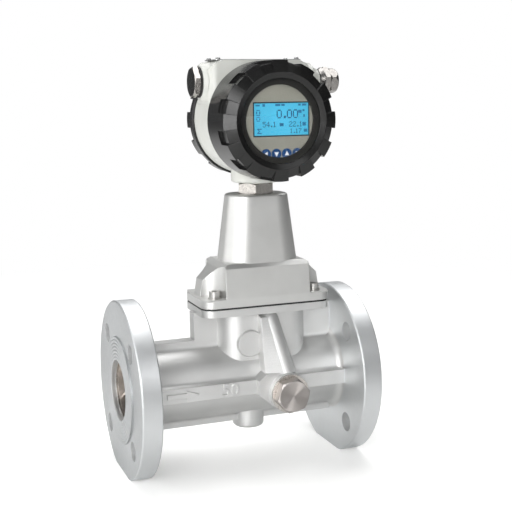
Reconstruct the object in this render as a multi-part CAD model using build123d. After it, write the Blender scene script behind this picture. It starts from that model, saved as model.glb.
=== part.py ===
from build123d import *
import math
import os

# Precession vortex gas flow meter for a 50 mm line. Millimetres.
# X runs along the pipe with the flow, Z is up, and the flats of both flanges stand on Z = 0.

# Pipe run and flanges
face_to_face = 230.0
flange_radius = 82.5
foot_flat_depth = 5.0
flange_thickness = 18.5
flange_edge = 1.0
raised_face_radius = 49.5
raised_face_height = 1.5
bolt_circle = 125.0
bolt_hole_radius = 9.0
bolt_count = 4
pipe_radius = 34.0
hub_fillet = 6.0
rib_reach = 41.0
rib_thickness = 13.5
rib_fillet = 4.5

# Flow passage
seat_radius = 28.0
seat_clearance = 0.05
throat_radius = 19.0
throat_start = -24.0
throat_end = 6.0
passage_radius = 25.5
swirler_front = -109.0
swirler_length = 42.0
straightener_front = 70.0
straightener_length = 34.0
snap_ring_thickness = 1.6
snap_ring_depth = 1.4
snap_ring_width = 3.2

# Swirler and straightener
blade_count = 6
blade_twist = 62.0
blade_thickness = 1.8
swirler_hub_radius = 8.0
insert_wall = 1.8
vane_count = 8
vane_thickness = 1.4
straightener_hub_radius = 5.0

# Stem line: the block, bonnet, union and head all stand on this line
stem_x = 22.5
block_length = 86.0
block_width = 52.0
block_corner = 19.0
plate_length = 126.0
plate_width = 62.0
plate_corner = 11.0
plate_rise = 72.5
plate_thickness = 6.8
gusset_left = -43.0
gasket_thickness = 1.6
gasket_inset = 0.6
cavity_length = 70.0
cavity_width = 36.0
cavity_corner = 10.0
cavity_floor_rise = 46.5

# Cast details on the body
port_x = 34.0
port_drop = 6.5
port_boss_radius = 18.6
port_face = -51.5
port_thread_radius = 8.0
port_thread_depth = 15.0
port_duct_radius = 2.5
port_rib_reach = 28.5
port_rib_inset = 4.5
port_chin_x = 11.0
port_chin_drop = 15.0
pad_x = 5.2
pad_rise = 37.8
pad_radius = 13.0
pad_face_radius = 11.8
pad_height = 2.4
duct_radius = 10.0
duct_foot_rise = 15.0
duct_top_drop = 8.0
duct_shift = 1.4
duct_sink = 2.0
duct_flank_x = 13.2
flank_top_drop = 3.0
flank_top_reach = 6.5
flank_foot_inset = 8.0
flank_foot_high = 19.0
flank_foot_low = 12.0
foot_boss_x = 11.5
foot_boss_radius = 15.0
foot_boss_drop = 48.5
foot_boss_fillet = 3.0
arrow_start = -80.0
arrow_length = 30.0
arrow_height = 9.0
arrow_relief = 1.0

# Bonnet
foot_height = 8.0
bonnet_height = 41.0
wall_inset = 3.0
wall_lean = 1.8
end_lean = 2.8
crown_drop = 16.0
crown_run = 6.0
crown_edge = 4.0
bonnet_top_half = 38.0
pocket_radius = 17.5
pocket_inset = 4.5
screw_inset_x = 13.5
screw_inset_y = 11.0
screw_radius = 3.0
screw_head_radius = 5.0
screw_head_height = 5.6
screw_socket_radius = 2.9
screw_clearance = 0.3
washer_radius = 6.2
washer_thickness = 1.0
bonnet_cavity_length = 80.0
bonnet_cavity_width = 40.0
bonnet_cavity_corner = 8.0
bonnet_roof = 6.0
stem_base_length = 73.5
stem_base_width = 52.0
stem_base_corner = 21.0
stem_top_length = 57.6
stem_top_width = 41.0
stem_top_corner = 17.0
stem_height = 61.5
stem_edge = 2.4
stem_bore_radius = 14.0

# Union between stem and head
union_across_flats = 31.5
union_hex_height = 10.0
union_hex_turn = 9.0
union_spigot_radius = 13.0
union_spigot_length = 10.0
union_thread_length = 12.0
union_bore_radius = 6.0
spigot_shelf = 6.0
union_washer_thickness = 0.8
running_clearance = 0.05

# Head
head_rise = 68.0
band_front = -19.0
band_back = 24.0
band_radius = 51.0
neck_radius = 47.0
neck_length = 12.0
head_bore_radius = 42.0
partition_front = -14.0
partition_back = -11.0
collar_radius = 23.0
block_half = 49.5
block_rise = 53.7
block_base_rise = 5.5
block_inset = 0.6
block_edge = 8.0
shoulder_drop = 9.5
shoulder_run = 12.0
conduit_rise = 34.5
conduit_radius = 9.5
conduit_reach = 21.0
conduit_boss_root = 17.5
gland_boss_length = 13.0
gland_boss_shoulder = 16.8
gland_boss_waist = 12.8
gland_boss_radius = 11.4
gland_boss_waist_length = 3.9
gland_boss_shoulder_length = 7.6
plug_boss_length = 3.3
plug_boss_radius = 15.2

# Covers
cover_radius = 53.0
cover_gap = 0.3
thread_clearance = 0.08
lug_radius = 52.8
pocket_floor_radius = 50.2
lug_count = 12
lug_angle = 16.0
front_lug_depth = 20.5
back_lug_depth = 13.5
front_cover_depth = 48.0
back_cover_depth = 22.5
back_cover_wall = 4.0
crest_radius = 42.0
crest_drop = 4.6
dish_radius = 37.0
dish_depth = 2.1
lip_thickness = 1.4
seal_groove_radius = 50.0
seal_groove_depth = 2.8
seal_radius = 1.3

# Window and display
glass_radius = 40.0
glass_thickness = 2.4
window_gasket_thickness = 0.4
bezel_radius = 43.4
bezel_thickness = 1.2
window_radius = 31.5
fit_clearance = 0.1
dial_gap = 0.3
dial_radius = 40.0
dial_thickness = 1.5
dial_offset_x = 1.9
lcd_length = 51.2
lcd_height = 28.6
lcd_up = 1.8
key_radius = 4.5
key_clearance = 0.15
key_pitch = 9.8
key_down = 28.4
key_travel = 0.5
key_proud = 0.1
key_stem_radius = 2.0
key_cap_depth = 3.6
board_gap = 4.2
board_radius = 38.0
board_thickness = 1.6
post_radius = 3.0
post_place = 24.0

# Rear compartment
rear_board_y = 12.0
terminal_length = 48.0
terminal_height = 14.0
terminal_depth = 10.5
terminal_down = 10.0
terminal_count = 6

# Gland on the right, blanking plug on the left
gland_seal_thickness = 1.0
gland_seal_radius = 11.2
gland_neck_radius = 10.8
gland_neck_length = 1.4
gland_collar_radius = 12.7
gland_collar_length = 3.2
gland_hex_flats = 23.7
gland_hex_length = 5.6
gland_hex_turn = 15.0
gland_thread_radius = 8.6
gland_thread_length = 4.0
gland_nut_flats = 21.4
gland_nut_length = 8.1
gland_nut_gap = 0.6
gland_nut_end_radius = 10.0
gland_hole_radius = 4.2
gland_rubber_wall = 1.4
gland_squeeze = 0.6
plug_seal_thickness = 2.0
plug_seal_radius = 13.9
plug_flats = 25.1
plug_hex_length = 5.6
plug_crown = 0.6
plug_turn = 44.0
entry_thread_length = 11.0

# Pressure port plug on the body
port_plug_flats = 28.6
port_plug_height = 9.2
port_plug_turn = 12.0
port_plug_dimple = 0.8
port_plug_rim = 0.9
port_washer_radius = 18.0
port_washer_thickness = 2.0

# Bare plate on the head
nameplate_length = 83.0
nameplate_width = 33.0
nameplate_shift = 1.5
nameplate_thickness = 0.8
nameplate_corner = 2.0
rivet_radius = 2.4
rivet_height = 2.3
rivet_inset = 3.4

# Probes in the body
vortex_probe_x = 3.0
vortex_probe_radius = 7.5
vortex_tip_radius = 3.0
vortex_tip_depth = 14.0
thermo_x = 47.0
thermo_radius = 3.0
thermo_tip_depth = 12.0
pressure_cell_x = 27.0
pressure_cell_radius = 8.5
pressure_cell_height = 12.0
probe_flange_height = 3.0
probe_flange_over = 2.0

# Places worked out from the sizes above
half_length = face_to_face / 2
rim_x = half_length - raised_face_height
hub_x = rim_x - flange_thickness
axis_height = flange_radius - foot_flat_depth
port_z = axis_height - port_drop
pad_z = axis_height + pad_rise
foot_boss_bottom = axis_height - foot_boss_drop
cavity_floor = axis_height + cavity_floor_rise
plate_top = axis_height + plate_rise
plate_bottom = plate_top - plate_thickness
bonnet_base = plate_top + gasket_thickness
foot_top = bonnet_base + foot_height
bonnet_top = plate_top + bonnet_height
crown_base = bonnet_top - crown_drop
stem_top = bonnet_top + stem_height
union_base = stem_top
union_top = union_base + union_hex_height
collar_bottom = union_top + union_washer_thickness
head_z = stem_top + head_rise
block_top = head_z + block_rise
block_base = head_z + block_base_rise
conduit_z = head_z + conduit_rise
block_front_y = -block_width / 2
band_depth = band_back - band_front
band_middle = (band_front + band_back) / 2
bezel_back_depth = (front_cover_depth - dish_depth - lip_thickness
                    - window_gasket_thickness - glass_thickness - bezel_thickness)
dial_front_depth = bezel_back_depth - dial_gap
dial_back_depth = dial_front_depth - dial_thickness
board_front_depth = dial_back_depth - board_gap
board_back_depth = board_front_depth - board_thickness
rear_board_back = rear_board_y + board_thickness

# Local Z of each line points the way its pieces are put on
gland_x = stem_x + block_half + gland_boss_length
plug_x = stem_x - block_half - plug_boss_length
pipe_line = Pos(0, 0, axis_height) * Rot(0, 90, 0)
front_line = Pos(stem_x, band_front, head_z) * Rot(90, 0, 0)
back_line = Pos(stem_x, band_back, head_z) * Rot(-90, 0, 0)
stem_line = Pos(stem_x, 0, 0)
gland_line = Pos(gland_x, band_middle, conduit_z) * Rot(0, 90, 0)
plug_line = Pos(plug_x, band_middle, conduit_z) * Rot(0, -90, 0)
port_line = Pos(port_x, port_face, port_z) * Rot(90, 0, 0)


def turned(line, outline):
    """Turn a closed outline of (radius, height) points about a line."""
    wire = Polyline(*[(radius, 0, height) for radius, height in outline], close=True)
    return line * revolve(make_face(wire), Axis.Z)


def rod(line, radius, start, end):
    """A round bar on a line between two heights."""
    return line * Pos(0, 0, (start + end) / 2) * Cylinder(radius, end - start)


def tube(line, outer, inner, start, end):
    """A plain round tube on a line."""
    return rod(line, outer, start, end) - rod(line, inner, start - 1, end + 1)


def bar_between(first, last, radius):
    """A round bar from one point to another."""
    path = Vector(*last) - Vector(*first)
    plane = Plane(origin=first, z_dir=path)
    return extrude(plane * Circle(radius), path.length)


def slab(line, length, width, corner, start, end):
    """A rounded rectangular slab on a line between two heights."""
    return line * Pos(0, 0, start) * extrude(RectangleRounded(length, width, corner), end - start)


def hexagon(line, flats, start, end, turn=0.0, chamfer_top=True, chamfer_bottom=False):
    """A hexagon with its corners turned down to a cone at one end or both."""
    corner = flats / math.sqrt(3)
    drop = (corner - flats / 2) * 0.6
    edge = flats / 2
    prism = line * Pos(0, 0, start) * Rot(0, 0, turn) * extrude(RegularPolygon(corner, 6), end - start)
    top = [(edge, end), (corner, end - drop)] if chamfer_top else [(corner, end)]
    bottom = [(corner, start + drop), (edge, start)] if chamfer_bottom else [(corner, start)]
    return prism & turned(line, [(0, start), (0, end)] + top + bottom)


def screw_places():
    """The four screw centres of the bonnet, from the stem line."""
    half_x = plate_length / 2 - screw_inset_x
    half_y = plate_width / 2 - screw_inset_y
    return [(x, y) for x in (-half_x, half_x) for y in (-half_y, half_y)]


def post_places():
    """The four post centres of the boards, from the head line."""
    return [(x, y) for x in (-post_place, post_place) for y in (-post_place, post_place)]


def key_places():
    """The four key centres, from the head line."""
    return [(dial_offset_x + (place - 1.5) * key_pitch, -key_down) for place in range(4)]


def flow_passage():
    """The bore from face to face: seat, cone, throat, diffuser and seat."""
    outlet_seat = straightener_front
    swirler_seat = swirler_front + swirler_length
    outline = [
        (0, -half_length - 1),
        (seat_radius, -half_length - 1),
        (seat_radius, swirler_seat),
        (passage_radius, swirler_seat),
        (throat_radius, throat_start),
        (throat_radius, throat_end),
        (passage_radius, outlet_seat - 8),
        (passage_radius, outlet_seat),
        (seat_radius, outlet_seat),
        (seat_radius, half_length + 1),
        (0, half_length + 1),
    ]
    bore = turned(pipe_line, outline)
    groove = seat_radius + snap_ring_depth
    groove_width = snap_ring_thickness + seat_clearance
    outlet_end = straightener_front + straightener_length
    inlet_groove = rod(pipe_line, groove, swirler_front - groove_width, swirler_front)
    outlet_groove = rod(pipe_line, groove, outlet_end, outlet_end + groove_width)
    return bore + inlet_groove + outlet_groove


def pipe_and_flanges():
    """The turned outline of pipe and flanges, with the hub fillets."""
    outline = [
        (0, -half_length),
        (raised_face_radius, -half_length),
        (raised_face_radius, -rim_x),
        (flange_radius - flange_edge, -rim_x),
        (flange_radius, -rim_x + flange_edge),
        (flange_radius, -hub_x - flange_edge),
        (flange_radius - flange_edge, -hub_x),
        (pipe_radius, -hub_x),
        (pipe_radius, hub_x),
        (flange_radius - flange_edge, hub_x),
        (flange_radius, hub_x + flange_edge),
        (flange_radius, rim_x - flange_edge),
        (flange_radius - flange_edge, rim_x),
        (raised_face_radius, rim_x),
        (raised_face_radius, half_length),
        (0, half_length),
    ]
    run = turned(pipe_line, outline)
    hubs = [edge for edge in run.edges().filter_by(GeomType.CIRCLE)
            if abs(edge.radius - pipe_radius) < 0.01]
    return fillet(hubs, hub_fillet)


def ribbed_pipe():
    """The pipe between the flanges with its cross of four ribs, filleted where they meet."""
    level_rib = Rectangle(rib_thickness, 2 * rib_reach)
    upright_rib = Rectangle(2 * rib_reach, rib_thickness)
    profile = Circle(pipe_radius) + level_rib + upright_rib
    roots = [corner for corner in profile.vertices() if abs(Vector(corner).length - pipe_radius) < 0.01]
    profile = fillet(roots, rib_fillet)
    return pipe_line * Pos(0, 0, -hub_x) * extrude(profile, 2 * hub_x)


def sensor_block():
    """The oblong housing above the throat, its ribs and the plate that the bonnet sits on."""
    ribs = ribbed_pipe()
    block = slab(stem_line, block_length, block_width, block_corner, axis_height, plate_bottom + 1)
    plate = slab(stem_line, plate_length, plate_width, plate_corner, plate_bottom, plate_top)
    gusset_length = hub_x - gusset_left
    gusset_height = plate_bottom + 1 - axis_height
    gusset = Pos(gusset_left + gusset_length / 2, 0, axis_height + gusset_height / 2) * Box(
        gusset_length, rib_thickness, gusset_height)
    return ribs + block + plate + gusset


def pressure_duct():
    """The slanting duct from the block down to the port boss, with its flat left flank."""
    top = (stem_x + duct_shift, block_front_y + duct_sink, plate_bottom - duct_top_drop)
    bottom = (port_x + duct_shift, port_face + duct_radius + duct_sink, port_z + duct_foot_rise)
    duct = bar_between(bottom, top, duct_radius) + Pos(*top) * Sphere(duct_radius)
    flank_back = block_front_y + 2 * duct_sink
    flank_foot_y = port_face + flank_foot_inset
    flank = Polyline(
        (duct_flank_x, flank_back, plate_bottom),
        (duct_flank_x, block_front_y - flank_top_reach, plate_bottom - flank_top_drop),
        (duct_flank_x, flank_foot_y, port_z + flank_foot_high),
        (duct_flank_x, flank_foot_y, port_z + flank_foot_low),
        (duct_flank_x, flank_back, port_z + flank_foot_low),
        close=True,
    )
    wedge = extrude(make_face(flank), stem_x - duct_flank_x, dir=(1, 0, 0))
    return duct + wedge


def port_boss():
    """The round boss of the pressure port, with the thick rib end on its left."""
    boss = rod(port_line, port_boss_radius, port_face + 10, 0)
    half_rib = rib_thickness / 2
    left = port_x - port_rib_reach
    outline = Polyline(
        (left, 0, axis_height - half_rib),
        (left, 0, axis_height + half_rib),
        (duct_flank_x, 0, port_z + flank_foot_high),
        (port_x, 0, port_z + port_boss_radius),
        (port_x, 0, port_z - port_boss_radius),
        (port_x - port_chin_x, 0, port_z - port_chin_drop),
        close=True,
    )
    block = extrude(make_face(outline), -port_face - port_rib_inset, dir=(0, -1, 0))
    return boss + block


def flow_arrow():
    """The raised arrow on the front rib that points down the flow."""
    shaft_half = arrow_height / 4
    neck = arrow_length * 0.6
    outline = Polyline(
        (arrow_start, 0, axis_height - shaft_half),
        (arrow_start + neck, 0, axis_height - shaft_half),
        (arrow_start + neck, 0, axis_height - arrow_height / 2),
        (arrow_start + arrow_length, 0, axis_height),
        (arrow_start + neck, 0, axis_height + arrow_height / 2),
        (arrow_start + neck, 0, axis_height + shaft_half),
        (arrow_start, 0, axis_height + shaft_half),
        close=True,
    )
    return extrude(make_face(outline), rib_reach + arrow_relief, dir=(0, -1, 0))


def meter_body():
    """The cast body: flanges, pipe, ribs, sensor block, port boss and foot boss."""
    pad_line = Pos(pad_x, block_front_y, pad_z) * Rot(90, 0, 0)
    pad = turned(pad_line, [(0, -6), (pad_radius, -6), (pad_radius, 0), (pad_face_radius, pad_height),
                            (0, pad_height)])
    foot_boss = rod(Pos(foot_boss_x, 0, 0), foot_boss_radius, foot_boss_bottom, axis_height)
    foot_boss = fillet(foot_boss.edges().group_by(Axis.Z)[0], foot_boss_fillet)
    casting = pipe_and_flanges() + sensor_block() + foot_boss + pad
    casting += pressure_duct() + port_boss() + flow_arrow()
    casting -= flow_passage()
    for place in range(bolt_count):
        angle = math.radians(360 / bolt_count * (place + 0.5))
        hole_y = bolt_circle / 2 * math.cos(angle)
        hole_z = axis_height + bolt_circle / 2 * math.sin(angle)
        hole_line = Pos(0, hole_y, hole_z) * Rot(0, 90, 0)
        casting -= rod(hole_line, bolt_hole_radius, -half_length - 1, -hub_x + 1)
        casting -= rod(hole_line, bolt_hole_radius, hub_x - 1, half_length + 1)
    casting -= Pos(0, 0, -flange_radius / 2) * Box(face_to_face + 2, 2 * flange_radius + 2, flange_radius)
    casting -= slab(stem_line, cavity_length, cavity_width, cavity_corner, cavity_floor, plate_top + 1)
    for x, radius in ((vortex_probe_x, vortex_probe_radius + fit_clearance),
                      (thermo_x, thermo_radius + fit_clearance), (pressure_cell_x, port_duct_radius)):
        casting -= rod(Pos(x, 0, 0), radius, axis_height, cavity_floor + 1)
    casting -= rod(port_line, port_thread_radius + fit_clearance, -port_thread_depth, 1)
    casting -= rod(port_line, port_duct_radius, port_face, 1)
    for x, y in screw_places():
        screw_line = stem_line * Pos(x, y, 0)
        casting -= rod(screw_line, screw_radius + running_clearance, plate_bottom - 1, plate_top + 1)
    return casting


def ring_insert(front, length):
    """The outer ring that a swirler or straightener is built in."""
    outer = seat_radius - seat_clearance
    return tube(pipe_line, outer, outer - insert_wall, front, front + length)


def swirler():
    """Six twisted blades on a pointed hub inside a ring: they set the gas spinning."""
    outer = seat_radius - seat_clearance
    back = swirler_front + swirler_length
    blade_reach = outer - insert_wall / 2
    section = Pos(blade_reach / 2, 0) * Rectangle(blade_reach, blade_thickness)
    blade = Solid.extrude_linear_with_rotation(
        section.face(), center=(0, 0, 0), normal=(0, 0, swirler_length - 4), angle=blade_twist)
    wheel = ring_insert(swirler_front, swirler_length)
    hub = [
        (0, swirler_front + 0.5),
        (swirler_hub_radius * 0.5, swirler_front + 2),
        (swirler_hub_radius * 0.85, swirler_front + 6),
        (swirler_hub_radius, swirler_front + 12),
        (swirler_hub_radius, back - 1),
        (0, back - 1),
    ]
    for place in range(blade_count):
        wheel += pipe_line * Rot(0, 0, 360 / blade_count * place) * Pos(0, 0, swirler_front + 3) * blade
    return wheel + turned(pipe_line, hub)


def flow_straightener():
    """Straight radial vanes at the outlet that take the spin out again."""
    outer = seat_radius - seat_clearance
    wheel = ring_insert(straightener_front, straightener_length)
    back = straightener_front + straightener_length
    wheel += rod(pipe_line, straightener_hub_radius, straightener_front + 1, back - 1)
    reach = outer - insert_wall / 2
    vane_length = straightener_length - 4
    for place in range(vane_count):
        vane = Pos(reach / 2, 0, straightener_front + straightener_length / 2) * Box(
            reach, vane_thickness, vane_length)
        wheel += pipe_line * Rot(0, 0, 360 / vane_count * (place + 0.5)) * vane
    return wheel


def snap_ring(start):
    """An open ring that springs into the groove in front of an insert."""
    outer = seat_radius + snap_ring_depth - seat_clearance
    ring = tube(pipe_line, outer, outer - snap_ring_width, start, start + snap_ring_thickness)
    gap = pipe_line * Pos(-outer, 0, start) * Box(2 * snap_ring_width + 4, 8, 4 * snap_ring_thickness)
    return ring - gap


def swirler_ring():
    return snap_ring(swirler_front - snap_ring_thickness - seat_clearance / 2)


def straightener_ring():
    return snap_ring(straightener_front + straightener_length + seat_clearance / 2)


def probe(x, radius, tip_radius, tip_depth):
    """A probe that hangs from a flange on the cavity floor into the gas."""
    line = Pos(x, 0, 0)
    flange = rod(line, radius + probe_flange_over, cavity_floor, cavity_floor + probe_flange_height)
    throat_top = axis_height + throat_radius
    shank = rod(line, radius, throat_top + 2, cavity_floor + probe_flange_height + 6)
    tip = rod(line, tip_radius, throat_top - tip_depth, throat_top + 3)
    return flange + shank + tip


def vortex_probe():
    """The piezo probe whose flat tail feels the vortex precess."""
    tail = Pos(vortex_probe_x, 0, axis_height + throat_radius - vortex_tip_depth) * Box(
        3 * vortex_tip_radius, 1.6, 2 * vortex_tip_radius)
    return probe(vortex_probe_x, vortex_probe_radius, vortex_tip_radius, vortex_tip_depth) + tail


def temperature_probe():
    return probe(thermo_x, thermo_radius, thermo_radius * 0.8, thermo_tip_depth)


def pressure_cell():
    """The round pressure cell that stands on the cavity floor over its duct."""
    line = Pos(pressure_cell_x, 0, 0)
    can = rod(line, pressure_cell_radius, cavity_floor, cavity_floor + pressure_cell_height)
    nipple = rod(line, port_duct_radius - fit_clearance, cavity_floor - 6, cavity_floor + 1)
    return can + nipple


def port_washer():
    hole = port_thread_radius + fit_clearance
    return tube(port_line, port_washer_radius, hole, 0, port_washer_thickness)


def port_plug():
    """The hexagon plug of the pressure port, its face turned with a shallow dimple."""
    top = port_washer_thickness + port_plug_height
    head = hexagon(port_line, port_plug_flats, port_washer_thickness, top, port_plug_turn)
    thread = rod(port_line, port_thread_radius, 1 - port_thread_depth, port_washer_thickness + 1)
    rim = port_plug_flats / 2 - port_plug_rim
    dimple = turned(port_line, [(0, top - port_plug_dimple), (rim, top), (rim, top + 1), (0, top + 1)])
    return head + thread - dimple


def bonnet_gasket():
    """The flat gasket between plate and bonnet."""
    sheet = slab(stem_line, plate_length - 2 * gasket_inset, plate_width - 2 * gasket_inset,
                 plate_corner - gasket_inset, plate_top, bonnet_base)
    below = plate_top - 1
    above = bonnet_base + 1
    sheet -= slab(stem_line, bonnet_cavity_length, bonnet_cavity_width, cavity_corner, below, above)
    for x, y in screw_places():
        sheet -= rod(stem_line * Pos(x, y, 0), screw_radius + screw_clearance, below, above)
    return sheet


def bonnet():
    """The cast bonnet: foot, chamfered box with scooped corners, and tapered hollow stem."""
    foot = slab(stem_line, plate_length, plate_width, plate_corner, bonnet_base, foot_top)
    half = plate_length / 2 - wall_inset
    side = Polyline(
        (-half, 0, foot_top - 1), (-half + end_lean, 0, crown_base),
        (-bonnet_top_half - crown_run, 0, bonnet_top - crown_edge), (-bonnet_top_half, 0, bonnet_top),
        (bonnet_top_half, 0, bonnet_top), (bonnet_top_half + crown_run, 0, bonnet_top - crown_edge),
        (half - end_lean, 0, crown_base), (half, 0, foot_top - 1), close=True)
    box = stem_line * extrude(make_face(side), plate_width / 2, both=True)
    wall = plate_width / 2
    crest = wall - wall_lean - crown_edge
    end = Polyline(
        (0, -wall, foot_top - 2), (0, -wall, foot_top), (0, wall_lean - wall, bonnet_top - crown_edge),
        (0, -crest, bonnet_top), (0, crest, bonnet_top), (0, wall - wall_lean, bonnet_top - crown_edge),
        (0, wall, foot_top), (0, wall, foot_top - 2), close=True)
    box = box & (stem_line * extrude(make_face(end), plate_length / 2, both=True))
    for x in (-1, 1):
        for y in (-1, 1):
            scoop_x = x * (plate_length / 2 - pocket_inset)
            scoop_y = y * (plate_width / 2 - pocket_inset)
            scoop = stem_line * Pos(scoop_x, scoop_y, 0)
            box -= rod(scoop, pocket_radius, foot_top, bonnet_top + 1)
    stem_foot = RectangleRounded(stem_base_length, stem_base_width, stem_base_corner)
    stem_head = RectangleRounded(stem_top_length, stem_top_width, stem_top_corner)
    stem = stem_line * loft([Pos(0, 0, bonnet_top - 1) * stem_foot, Pos(0, 0, stem_top) * stem_head])
    stem = fillet(stem.edges().group_by(Axis.Z)[-1], stem_edge)
    cast = foot + box + stem
    cast -= slab(stem_line, bonnet_cavity_length, bonnet_cavity_width, bonnet_cavity_corner,
                 bonnet_base - 1, bonnet_top - bonnet_roof)
    socket_floor = stem_top - union_spigot_length
    cast -= rod(stem_line, stem_bore_radius, bonnet_top - bonnet_roof - 1, socket_floor - spigot_shelf)
    cast -= rod(stem_line, union_bore_radius, socket_floor - spigot_shelf - 1, socket_floor + 1)
    cast -= rod(stem_line, union_spigot_radius + fit_clearance, socket_floor, stem_top + 1)
    for x, y in screw_places():
        screw_line = stem_line * Pos(x, y, 0)
        cast -= rod(screw_line, screw_radius + screw_clearance, bonnet_base - 1, foot_top + 1)
    return cast


def bonnet_washers():
    """Four flat washers under the screw heads."""
    return [tube(stem_line * Pos(x, y, 0), washer_radius, screw_radius + screw_clearance,
                 foot_top, foot_top + washer_thickness) for x, y in screw_places()]


def bonnet_screws():
    """Four socket head screws that hold the bonnet down."""
    screws = []
    seat = foot_top + washer_thickness
    for x, y in screw_places():
        line = stem_line * Pos(x, y, 0)
        screw = rod(line, screw_head_radius, seat, seat + screw_head_height)
        screw += rod(line, screw_radius, plate_bottom + 0.5, seat + 1)
        socket = extrude(RegularPolygon(screw_socket_radius, 6), screw_head_height)
        screws.append(screw - line * Pos(0, 0, seat + screw_head_height / 2) * socket)
    return screws


def union_nut():
    """The hexagon union: fixed in the stem below, a plain swivel spigot above."""
    body = hexagon(stem_line, union_across_flats, union_base, union_top, union_hex_turn, True, True)
    body += rod(stem_line, union_spigot_radius, union_base - union_spigot_length, union_base + 1)
    body += rod(stem_line, union_spigot_radius, union_top - 1, collar_bottom + union_thread_length)
    return body - rod(stem_line, union_bore_radius, union_base - union_spigot_length - 1,
                      collar_bottom + union_thread_length + 1)


def union_washer():
    """The low friction ring that the head turns on."""
    outer = union_across_flats / 2 - 0.5
    return tube(stem_line, outer, union_spigot_radius + fit_clearance, union_top, collar_bottom)


def conduit_bosses():
    """The long waisted boss under the gland and the short one under the plug."""
    root = -gland_boss_length - block_edge
    gland_boss = [
        (0, root), (conduit_boss_root, root), (conduit_boss_root, -gland_boss_length),
        (gland_boss_shoulder, -gland_boss_shoulder_length), (gland_boss_waist, -gland_boss_waist_length),
        (gland_boss_radius, 0), (0, 0),
    ]
    foot = -plug_boss_length - block_edge
    plug_boss = [(0, foot), (conduit_boss_root, foot), (conduit_boss_root, -plug_boss_length),
                 (plug_boss_radius, 0), (0, 0)]
    return turned(gland_line, gland_boss) + turned(plug_line, plug_boss)


def head_housing():
    """The painted head casting: a round band with threaded necks, a conduit block and a collar."""
    back = -band_depth
    outline = [
        (0, back - neck_length), (neck_radius, back - neck_length), (neck_radius, back),
        (band_radius, back), (band_radius, 0), (neck_radius, 0), (neck_radius, neck_length),
        (0, neck_length),
    ]
    drum = turned(front_line, outline)
    low_half = band_radius * 0.86
    sides = [
        (-low_half, block_base), (-block_half, conduit_z - conduit_boss_root),
        (-block_half, block_top - shoulder_drop), (-block_half + 4, block_top - shoulder_drop * 0.4),
        (-block_half + shoulder_run, block_top), (block_half - shoulder_run, block_top),
        (block_half - 4, block_top - shoulder_drop * 0.4), (block_half, block_top - shoulder_drop),
        (block_half, conduit_z - conduit_boss_root), (low_half, block_base),
    ]
    face = make_face(Polyline(*[(x, 0, z) for x, z in sides], close=True))
    block = Pos(stem_x, band_middle, 0) * extrude(face, band_depth / 2 - block_inset, both=True)
    upright = [edge for edge in block.edges().filter_by(Axis.Z) if edge.length > 15]
    block = fillet(upright, block_edge)
    collar = rod(stem_line, collar_radius, collar_bottom, head_z - head_bore_radius)
    collar = chamfer(collar.edges().group_by(Axis.Z)[0], 1.2)
    for line in (front_line, back_line):
        collar -= rod(line, cover_radius + cover_gap, 0, collar_radius)
    casting = drum + block + collar
    casting += conduit_bosses()
    casting -= rod(front_line, head_bore_radius, band_front - partition_front, neck_length + 1)
    casting -= rod(back_line, head_bore_radius, partition_back - band_back, neck_length + 1)
    casting -= rod(gland_line, conduit_radius, stem_x + conduit_reach - gland_x, 1)
    casting -= rod(plug_line, conduit_radius, plug_x - stem_x + conduit_reach, 1)
    casting -= rod(stem_line, union_spigot_radius + running_clearance, collar_bottom - 1,
                   collar_bottom + union_thread_length + 0.5)
    casting -= rod(stem_line, union_bore_radius, collar_bottom, head_z - head_bore_radius + 4)
    return casting


def lug_pocket(start, depth):
    """One of the gaps between the grip lugs, open to the front of a cover."""
    outline = Polyline(
        (pocket_floor_radius, 0, start), (cover_radius + 4, 0, start), (cover_radius + 4, 0, depth + 1),
        (crest_radius, 0, depth + 1), (crest_radius, 0, depth - 0.4),
        (pocket_floor_radius, 0, depth - crest_drop - 1.4), close=True)
    gap = 360 / lug_count - lug_angle
    return Rot(0, 0, lug_angle / 2) * revolve(make_face(outline), Axis.Z, gap)


def cover(line, depth, skirt, inside):
    """A screwed cover: smooth skirt, grip lugs and chamfered crest, bored out by an inside outline."""
    outline = [
        (0, cover_gap), (cover_radius - 1, cover_gap), (cover_radius, cover_gap + 1.2),
        (lug_radius, skirt), (lug_radius, depth - crest_drop), (crest_radius, depth), (0, depth),
    ]
    shell = turned(Pos(0, 0, 0), outline)
    pocket = lug_pocket(skirt, depth)
    for place in range(lug_count):
        shell -= Rot(0, 0, 360 / lug_count * place) * pocket
    groove = [(neck_radius - 1, 0), (seal_groove_radius, 0), (seal_groove_radius, seal_groove_depth),
              (neck_radius - 1, seal_groove_depth)]
    shell -= turned(Pos(0, 0, 0), groove)
    return line * (shell - turned(Pos(0, 0, 0), inside))


def front_cover():
    """The cover with the round window: lip, glass seat and bezel seat inside."""
    bore = neck_radius + thread_clearance
    bezel_seat = bezel_back_depth + bezel_thickness
    lip_back = front_cover_depth - dish_depth - lip_thickness
    inside = [
        (0, -1), (bore, -1), (bore, neck_length + 1.5), (bezel_radius + fit_clearance, neck_length + 4),
        (bezel_radius + fit_clearance, bezel_seat), (glass_radius + fit_clearance, bezel_seat),
        (glass_radius + fit_clearance, lip_back), (dish_radius, lip_back),
        (dish_radius, lip_back + lip_thickness), (crest_radius, front_cover_depth),
        (crest_radius, front_cover_depth + 1), (0, front_cover_depth + 1),
    ]
    return cover(front_line, front_cover_depth, front_cover_depth - front_lug_depth, inside)


def back_cover():
    """The blind cover over the terminals."""
    bore = neck_radius + thread_clearance
    floor = back_cover_depth - back_cover_wall
    inside = [(0, -1), (bore, -1), (bore, neck_length + 1.5), (head_bore_radius, floor), (0, floor)]
    return cover(back_line, back_cover_depth, back_cover_depth - back_lug_depth, inside)


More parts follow.
